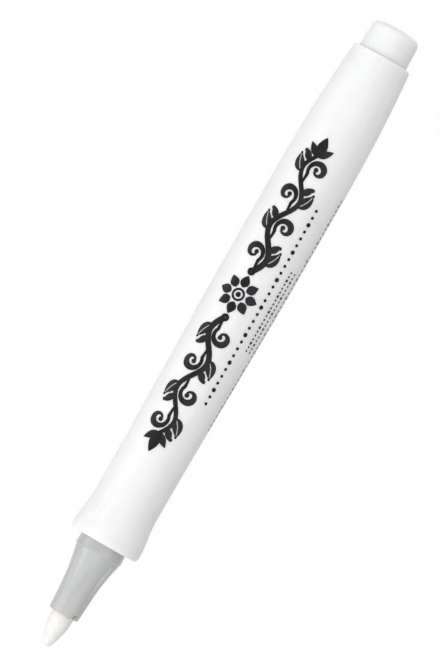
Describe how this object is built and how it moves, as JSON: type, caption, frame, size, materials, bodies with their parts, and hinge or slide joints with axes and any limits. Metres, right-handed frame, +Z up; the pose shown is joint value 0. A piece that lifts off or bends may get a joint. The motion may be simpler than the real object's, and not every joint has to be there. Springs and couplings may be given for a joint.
{
  "type": "decorating marker",
  "caption": "Decorating marker without its cap: thick white barrel, grey nib holder with a bullet nib, fibre reservoir, and a tail plug.",
  "frame": {"origin": "under the middle of the marker's length, on the surface that it lies on", "axes": "+X along the marker's axis from the nib to the knob, +Z up, away from the surface that it lies on"},
  "size_m": [0.135, 0.0144, 0.0144],
  "materials": {
    "white_plastic": "satin moulded polypropylene",
    "grey_plastic": "satin moulded polypropylene",
    "nib_fibre": "bonded acrylic fibre, ground to a bullet",
    "reservoir_fibre": "polyester fibre bundle",
    "wrapping_film": "thin clear wrapping film"
  },
  "bodies": {
    "root": {"barrel": "white_plastic", "nib_holder": "grey_plastic", "nib": "nib_fibre", "reservoir_core": "reservoir_fibre", "reservoir_film": "wrapping_film", "tail_plug": "white_plastic"}
  },
  "joints": []
}
